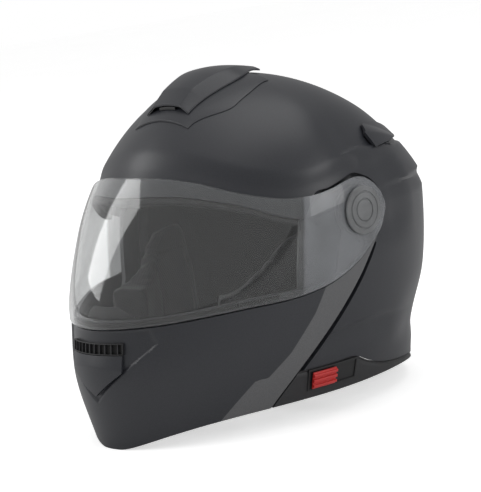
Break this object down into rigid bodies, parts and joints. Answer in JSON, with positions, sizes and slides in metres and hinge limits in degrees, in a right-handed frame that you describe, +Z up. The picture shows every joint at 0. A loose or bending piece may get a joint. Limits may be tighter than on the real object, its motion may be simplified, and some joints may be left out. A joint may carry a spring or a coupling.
{
  "type": "modular motorcycle helmet",
  "caption": "Flip-up motorcycle helmet with a hinged chin bar, clear visor, drop-down sun visor, crown and chin vents, padded lining and a ratchet chin strap.",
  "frame": {"origin": "on the rest plane, below the middle of the bounding box, on the plane of symmetry", "axes": "+Z up, the wearer looks along -Y, the wearer's left is +X"},
  "size_m": [0.258, 0.3186, 0.2638],
  "materials": {
    "shell_paint": "matte dark grey paint over a moulded shell",
    "black_plastic": "moulded black plastic, fine grain",
    "black_rubber": "soft black rubber",
    "foam": "dense bead foam, dark",
    "lining": "knitted lining cloth",
    "webbing": "woven nylon webbing",
    "clear_visor": "clear scratch-proof polycarbonate",
    "smoke_visor": "dark tinted polycarbonate",
    "steel": "brushed steel",
    "red_plastic": "red moulded plastic"
  },
  "bodies": {
    "shell": {"outer_shell": "shell_paint", "impact_liner": "foam", "crown_pad": "lining", "cheek_pad_left": "lining", "cheek_pad_right": "lining", "neck_roll": "lining", "neck_trim": "black_rubber", "eye_port_seal": "black_rubber", "pivot_axle_left": "steel", "pivot_axle_right": "steel", "latch_pin_left": "steel", "latch_pin_right": "steel", "top_vent_base": "shell_paint", "top_vent_scoop": "shell_paint", "rear_vent_left": "shell_paint", "rear_vent_right": "shell_paint", "slider_rail": "black_plastic", "sun_visor_pin_left": "steel", "sun_visor_pin_right": "steel", "strap_anchor_left": "steel", "strap_anchor_right": "steel", "strap_left": "webbing", "strap_right": "webbing", "ratchet_tongue": "black_plastic", "buckle_body": "steel"},
    "chin_bar": {"chin_bar_shell": "shell_paint", "chin_bar_liner": "foam", "chin_bar_trim": "black_rubber", "chin_hinge_arm_left": "black_plastic", "chin_hinge_arm_right": "black_plastic", "arm_rivets": "steel", "chin_vent_frame": "black_plastic", "chin_vent_cover": "shell_paint", "breath_deflector": "black_rubber", "chin_curtain": "lining", "visor_plate_left": "black_plastic", "visor_plate_right": "black_plastic", "visor_seal": "black_rubber"},
    "visor_unit": {"visor": "clear_visor", "pivot_cap_left": "clear_visor", "pivot_cap_right": "clear_visor"},
    "sun_visor": {"sun_visor": "smoke_visor"},
    "sun_slider": {"sun_visor_slider": "red_plastic"},
    "crown_slider": {"top_vent_slider": "black_plastic"},
    "chin_shutter": {"chin_vent_shutter": "black_plastic"},
    "button": {"release_button": "red_plastic"},
    "hook_left": {"latch_hook_left": "black_plastic"},
    "hook_right": {"latch_hook_right": "black_plastic"},
    "lever": {"buckle_lever": "red_plastic"}
  },
  "joints": [
    {"name": "chin_bar_flip", "type": "hinge", "parent": "shell", "child": "chin_bar", "pos_m": [0, 0.0117, 0.15], "axis": [-1, 0, 0], "range_deg": [0, 62]},
    {"name": "visor_lift", "type": "hinge", "parent": "chin_bar", "child": "visor_unit", "pos_m": [0, 0.0117, 0.15], "axis": [-1, 0, 0], "range_deg": [0, 26]},
    {"name": "sun_visor_drop", "type": "hinge", "parent": "shell", "child": "sun_visor", "pos_m": [0, -0.0113, 0.162], "axis": [1, 0, 0], "range_deg": [0, 38]},
    {"name": "sun_slider_travel", "type": "slide", "parent": "shell", "child": "sun_slider", "axis": [0.1213, 0.9926, 0], "range_m": [0, 0.008]},
    {"name": "crown_vent_slide", "type": "slide", "parent": "shell", "child": "crown_slider", "axis": [0, 0.8499, 0.5269], "range_m": [0, 0.006]},
    {"name": "chin_vent_slide", "type": "slide", "parent": "chin_bar", "child": "chin_shutter", "axis": [0, 0, 1], "range_m": [0, 0.007]},
    {"name": "release_press", "type": "slide", "parent": "chin_bar", "child": "button", "axis": [0, 1, 0], "range_m": [0, 0.005], "stiffness_N_per_m": 400},
    {"name": "hook_left_drop", "type": "slide", "parent": "chin_bar", "child": "hook_left", "axis": [0, 0, -1], "range_m": [0, 0.005]},
    {"name": "hook_right_drop", "type": "slide", "parent": "chin_bar", "child": "hook_right", "axis": [0, 0, -1], "range_m": [0, 0.005]},
    {"name": "buckle_lift", "type": "hinge", "parent": "shell", "child": "lever", "pos_m": [0.034, 0.0037, 0.0136], "axis": [0, 1, 0], "range_deg": [0, 55], "stiffness_Nm_per_rad": 0.02}
  ],
  "couplings": [
    {"joint": "hook_left_drop", "follows": "release_press", "ratio": 1},
    {"joint": "hook_right_drop", "follows": "release_press", "ratio": 1},
    {"joint": "sun_slider_travel", "follows": "sun_visor_drop", "m_per_rad": 0.012}
  ]
}
